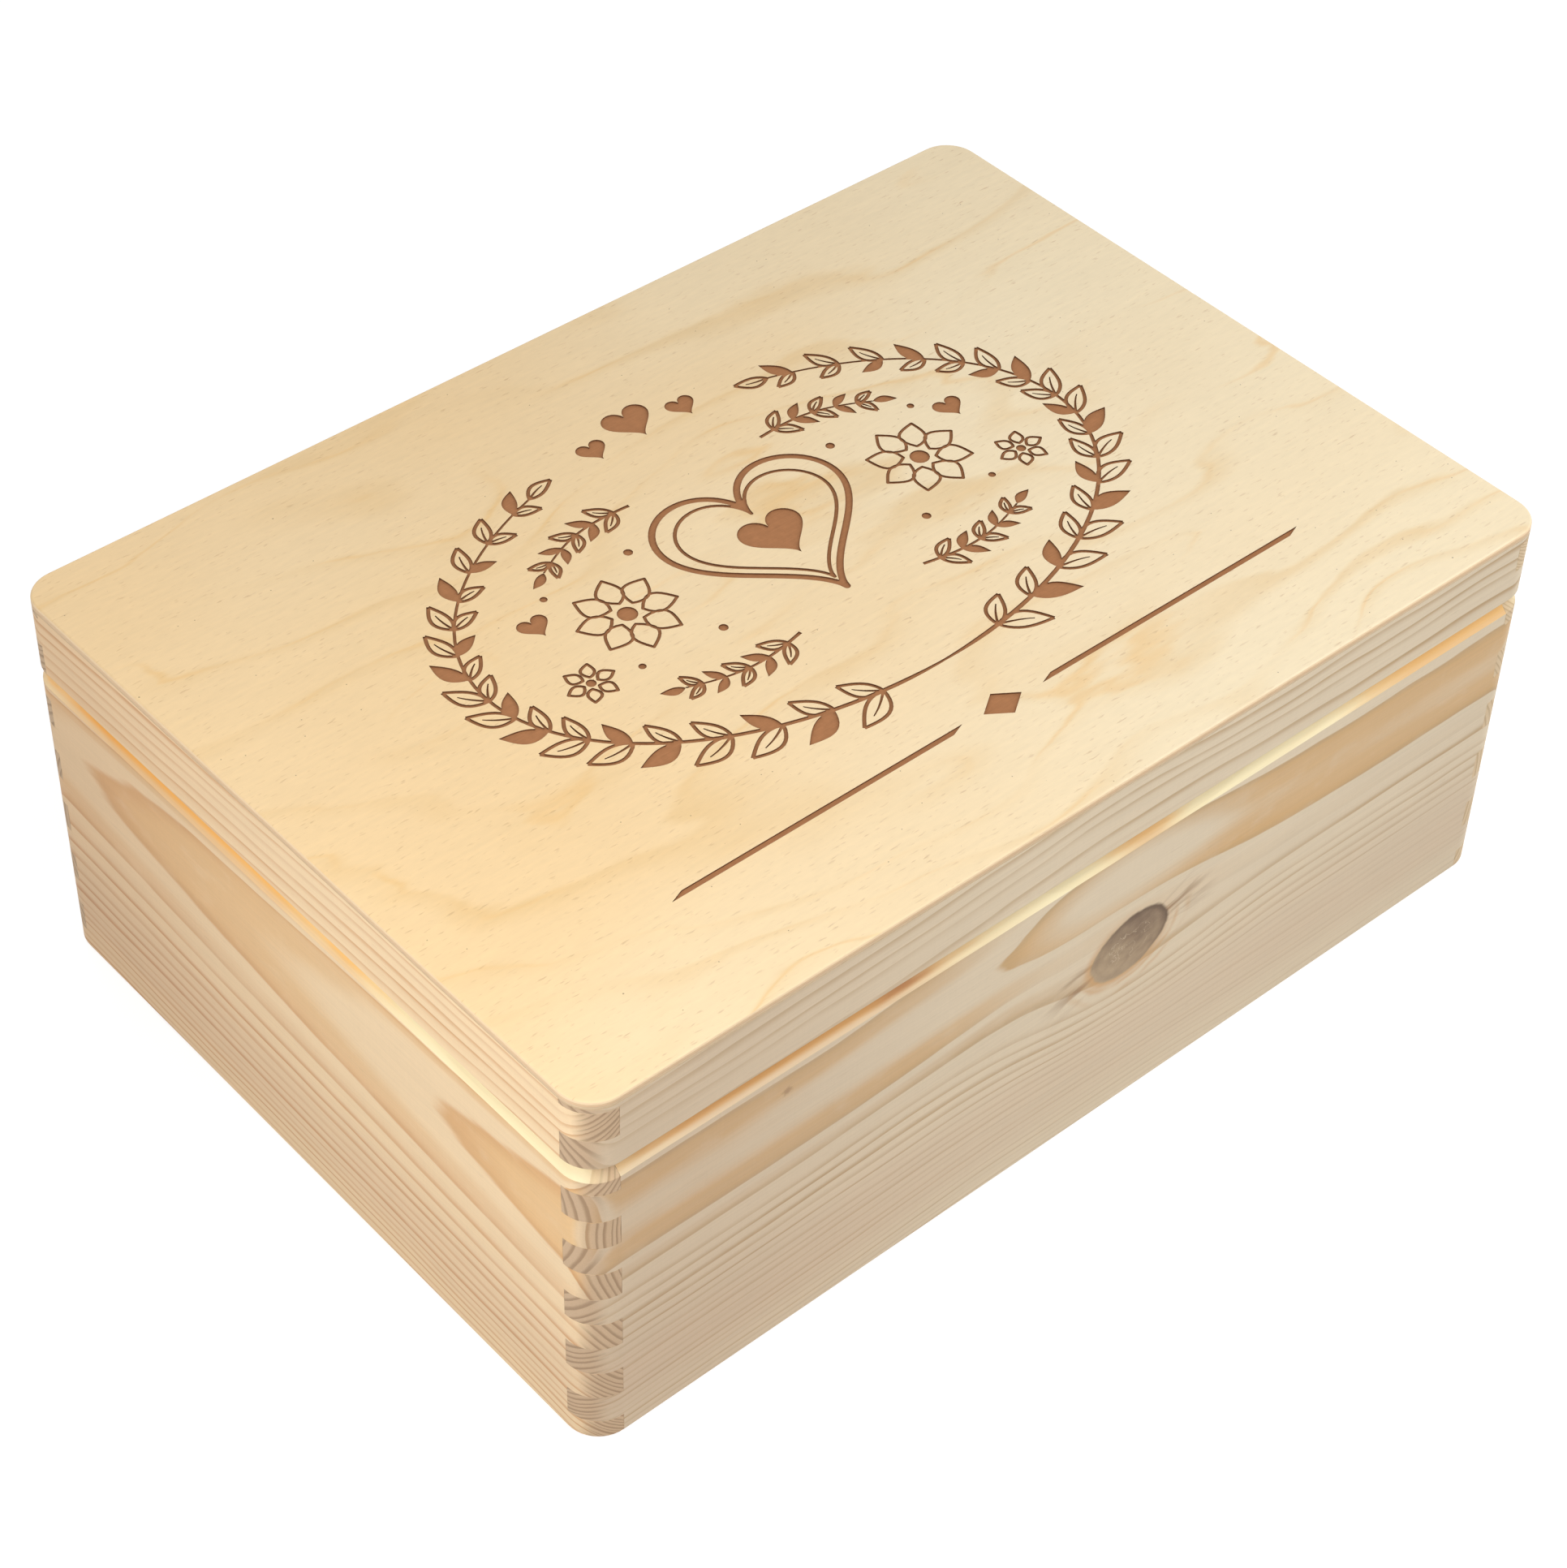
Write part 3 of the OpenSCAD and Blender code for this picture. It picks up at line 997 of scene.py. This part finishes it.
def branch(cut, side):
    """One half of the wreath: a tapering stem with a pair of leaves at each joint."""
    stem = [wreath_point(side, i / 60) for i in range(61)]
    cut.stroke(stem, BOLD * 0.75, taper=lambda t: min(1.0, 0.15 + 9 * t) - 0.55 * t)
    for i in range(WREATH_LEAVES):
        t = BRANCH_FIRST + (BRANCH_LAST - BRANCH_FIRST) * i / (WREATH_LEAVES - 1)
        here = wreath_point(side, t)
        along = heading(here, wreath_point(side, t + AHEAD))
        size = BRANCH_LEAF - BRANCH_LESS * t
        leaf(cut, here, along - side * BRANCH_SPREAD, size, size * 0.42, i % 3 == 1)
        leaf(cut, here, along + side * BRANCH_SPREAD, size * 0.8, size * 0.34, i % 3 == 2)
    tip = wreath_point(side, 1.0)
    leaf(cut, tip, heading(wreath_point(side, 1.0 - AHEAD), tip), 12.0, 5.0, False)


def sprig(cut, start, end, bow, leaves=5):
    """A short stem bowed to one side, with small leaves on both sides and at its tip."""
    start, end = Vector(start), Vector(end)
    run = end - start
    side = Vector((-run.y, run.x)).normalized() * bow

    def stem_point(t):
        return start + run * t + side * math.sin(math.pi * t)

    cut.stroke([stem_point(i / 24) for i in range(25)], taper=lambda t: 1 - 0.5 * t)
    for i in range(leaves):
        t = SPRIG_FIRST + (SPRIG_LAST - SPRIG_FIRST) * i / (leaves - 1)
        here = stem_point(t)
        along = heading(here, stem_point(t + AHEAD))
        size = SPRIG_LEAF - SPRIG_LESS * t
        for way in (-1, 1):
            leaf(cut, here, along + way * SPRIG_SPREAD, size, size * 0.40, i % 2 == 1)
    leaf(cut, end, heading(stem_point(0.97), end), 8.5, 3.6, True)


def draw_engraving():
    """A leafy wreath round a heart, with flowers, sprigs, small hearts and ruled lines."""
    cut = Engraving()
    branch(cut, 1)
    branch(cut, -1)
    cx, cy = WREATH_AT
    heart_at = (cx, cy + 3)
    cut.stroke(heart_outline(heart_at, 72), BOLD, closed=True)
    cut.stroke(heart_outline(heart_at, 59), closed=True)
    cut.area(heart_outline(heart_at, 24, 1.0))
    for side in (-1, 1):
        flower(cut, (cx + side * 62, cy + 4), 17.0, 8, 0.2 * side)
        flower(cut, (cx + side * 91, cy - 14), 8.5, 6)
        sprig(cut, (cx + side * 26, cy - 37), (cx + side * 70, cy - 34), side * -4)
        sprig(cut, (cx + side * 28, cy + 45), (cx + side * 70, cy + 36), side * 4)
        cut.area(heart_outline((cx + side * 88, cy + 17), 11, 0.7))
        cut.dot((cx + side * 43, cy - 20), 1.6)
        cut.dot((cx + side * 43, cy + 27), 1.6)
        cut.dot((cx + side * 78, cy + 26), 1.3)
        cut.dot((cx + side * 74, cy - 18), 1.3)
        cut.area(heart_outline((cx + side * 19, cy + 74), 11, 0.7))
    cut.area(heart_outline((cx, cy + 78), 18, 1.0))
    rule_y = cy - 101
    ruled_line(cut, (cx - 132, rule_y), (cx - 16, rule_y))
    ruled_line(cut, (cx + 16, rule_y), (cx + 132, rule_y))
    cut.area([(cx - 8, rule_y), (cx, rule_y - 5.5), (cx + 8, rule_y), (cx, rule_y + 5.5)])
    return cut


# ---------------------------------------------------------------- engraved lid panel

# the panel's two materials, in their order on its mesh
SOUND, BURNT = 0, 1
# for the triangulation: keep what lies inside the outlines, and join points this near
KEEP_INSIDE = 1
NEAR = 1e-4


def rounded_outline(inset, per_corner=14):
    """The lid's outline from above, drawn in from its sides by inset."""
    radius = CORNER_R - inset
    points = []
    for quarter, (sx, sy) in enumerate(((1, 1), (-1, 1), (-1, -1), (1, -1))):
        cx, cy = sx * (HALF_W - CORNER_R), sy * (HALF_D - CORNER_R)
        for i in range(per_corner + 1):
            angle = math.pi / 2 * (quarter + i / per_corner)
            points.append(on_circle((cx, cy), radius, angle))
    return points


def triangulate_top(cuts):
    """Flat triangles for the lid's top, and which of them lie in the engraving."""
    points, faces = [], []
    for loop in [rounded_outline(PANEL_ROUNDING)] + cuts:
        faces.append(list(range(len(points), len(points) + len(loop))))
        points += [Vector(p) for p in loop]
    verts, _, tris, _, _, origins = delaunay_2d_cdt(points, [], faces, KEEP_INSIDE, NEAR)
    return verts, tris, [any(outline > 0 for outline in origin) for origin in origins]


def engraved_panel(cuts):
    """The lid's panel: a rounded plate whose top is cut down along the engraving."""
    flat, tris, is_cut = triangulate_top(cuts)
    mesh = bmesh.new()
    upper, lower = {}, {}

    def vertex(is_low, index):
        store, z = (lower, PANEL_HIGH - ENGRAVING_DEPTH) if is_low else (upper, PANEL_HIGH)
        if index not in store:
            store[index] = mesh.verts.new((flat[index].x, flat[index].y, z))
        return store[index]

    def face(corners, material, smooth=False):
        made = mesh.faces.new(corners)
        made.material_index = material
        made.smooth = smooth
        return made

    edges = {}
    for tri, cut in zip(tris, is_cut):
        face([vertex(cut, i) for i in tri], BURNT if cut else SOUND)
        for a, b in zip(tri, tri[1:] + tri[:1]):
            edges.setdefault((min(a, b), max(a, b)), []).append((a, b, cut))
    rim = []
    for users in edges.values():
        if len(users) == 1:
            rim.append(users[0][:2])
        elif users[0][2] != users[1][2]:
            a, b, _ = users[0] if users[0][2] else users[1]
            wall = [vertex(True, b), vertex(True, a), vertex(False, a), vertex(False, b)]
            face(wall, BURNT)

    add_rounded_side(mesh, face, [vertex(False, a) for a in chain(rim)])
    mesh.transform(Matrix.Scale(MM, 4))
    mesh.normal_update()
    return add_object("engraved_panel", mesh)


def chain(edges):
    """The vertices of a closed loop in order, from its directed edges."""
    follow = dict(edges)
    loop = [edges[0][0]]
    while follow[loop[-1]] != loop[0]:
        loop.append(follow[loop[-1]])
    return loop


def add_rounded_side(mesh, face, top, steps=5):
    """Rounds the top edge down to the sides, and closes the panel underneath."""
    start = [v.co.copy() for v in top]
    rows = [top]
    for i in range(1, steps + 1):
        angle = math.pi / 2 * i / steps
        out, down = PANEL_ROUNDING * math.sin(angle), PANEL_ROUNDING * (1 - math.cos(angle))
        rows.append([mesh.verts.new(pushed_out(p, out, PANEL_HIGH - down)) for p in start])
    rows.append([mesh.verts.new(pushed_out(p, PANEL_ROUNDING, PANEL_LOW)) for p in start])
    for high, low in zip(rows, rows[1:]):
        for i in range(len(top)):
            j = (i + 1) % len(top)
            face([high[j], high[i], low[i], low[j]], SOUND, smooth=True)
    face(rows[-1][::-1], SOUND)


def pushed_out(point, distance, z):
    """A point of the top's rim, moved out square to the lid's outline, at height z."""
    core_x, core_y = HALF_W - CORNER_R, HALF_D - CORNER_R
    core = Vector((
        max(-core_x, min(core_x, point.x)),
        max(-core_y, min(core_y, point.y)),
    ))
    out = (Vector(point.xy) - core).normalized()
    return (point.x + out.x * distance, point.y + out.y * distance, z)


def make_panel():
    """The engraved panel, in the place of the lid's plain one."""
    piece = engraved_panel(draw_engraving().cuts)
    piece.data.materials.append(plywood("plywood_top", PANEL_LOW, LID_PLIES))
    piece.data.materials.append(burnt_wood("burnt_wood"))
    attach(piece, "lid")
    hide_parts("lid_panel")


# ---------------------------------------------------------------- studio


def seen_directly(tree):
    """1 for what the camera, a reflection or glass sees, and 0 for the light it gives."""
    rays = tree.nodes.new("ShaderNodeLightPath").outputs
    total = rays["Is Camera Ray"]
    for name in ("Is Glossy Ray", "Is Transmission Ray"):
        node = tree.nodes.new("ShaderNodeMath")
        node.operation = "MAXIMUM"
        tree.links.new(total, node.inputs[0])
        tree.links.new(rays[name], node.inputs[1])
        total = node.outputs[0]
    return total


def make_world():
    """Even light from all round, which is seen as plain white."""
    world = bpy.data.worlds.new("studio")
    bpy.context.scene.world = world
    world.use_nodes = True
    tree = world.node_tree
    ambient = tree.nodes["Background"]
    ambient.inputs["Color"].default_value = WHITE
    ambient.inputs["Strength"].default_value = AMBIENT
    shown = tree.nodes.new("ShaderNodeBackground")
    shown.inputs["Color"].default_value = WHITE
    mix = tree.nodes.new("ShaderNodeMixShader")
    tree.links.new(seen_directly(tree), mix.inputs[0])
    tree.links.new(ambient.outputs[0], mix.inputs[1])
    tree.links.new(shown.outputs[0], mix.inputs[2])
    tree.links.new(mix.outputs[0], tree.nodes["World Output"].inputs["Surface"])


def make_floor():
    """A white floor that keeps the box's soft shadow."""
    mesh = bmesh.new()
    bmesh.ops.create_grid(mesh, x_segments=2, y_segments=2, size=FLOOR_HALF)
    bmesh.ops.translate(mesh, verts=mesh.verts, vec=(0, 0, -FLOOR_DROP))
    floor = add_object("floor", mesh)
    paint(floor, floor_white())


def floor_white():
    """White with the shadow on it for the camera, and a plain pale floor for the light."""
    s = Shader("floor_white")
    tone = s.node("BsdfDiffuse", [FLOOR_TONE])
    x, y, _ = s.place()
    away = (x * x + y * y).sqrt().rise(*FLOOR_FADE)
    glow = s.node("Emission", [WHITE, away * (1.0 - FLOOR_GLOW) + FLOOR_GLOW])
    shown = s.node("AddShader", [tone.outputs[0], glow.outputs[0]])
    plain = s.surface.outputs[0]
    mix = s.node("MixShader", [seen_directly(s.tree), plain, shown.outputs[0]])
    s.feed(s.tree.nodes["Material Output"].inputs["Surface"], mix.outputs[0])
    return s.finish(FLOOR_PALE, 1.0, Specular_IOR_Level=0.0)


def make_lamps():
    """Square soft lamps, turned to the middle of the box."""
    for name, place, width, power in LAMPS:
        lamp = bpy.data.lights.new(name, "AREA")
        lamp.size = width
        lamp.energy = power
        light = bpy.data.objects.new(name, lamp)
        light.location = place
        aim = Vector(LAMP_AIM) - Vector(place)
        light.rotation_euler = aim.to_track_quat("-Z", "Y").to_euler()
        bpy.context.scene.collection.objects.link(light)


def make_camera():
    """The photograph's camera, from above the front left corner."""
    data = bpy.data.cameras.new("camera")
    data.sensor_fit = "HORIZONTAL"
    data.sensor_width = SENSOR_MM
    data.lens = FOCAL_PX * SENSOR_MM / PHOTO_WIDTH
    data.clip_start, data.clip_end = CAMERA_CLIP
    camera = bpy.data.objects.new("camera", data)
    aim = Vector(CAMERA_AIM) - Vector(CAMERA_AT)
    turn = aim.to_track_quat("-Z", "Y").to_matrix() @ Matrix.Rotation(CAMERA_ROLL, 3, "Z")
    camera.matrix_world = Matrix.Translation(CAMERA_AT) @ turn.to_4x4()
    bpy.context.scene.collection.objects.link(camera)
    bpy.context.scene.camera = camera


bpy.context.scene.view_settings.view_transform = "Standard"
make_camera()
make_world()
make_lamps()
make_floor()
dress_nodes()
make_panel()
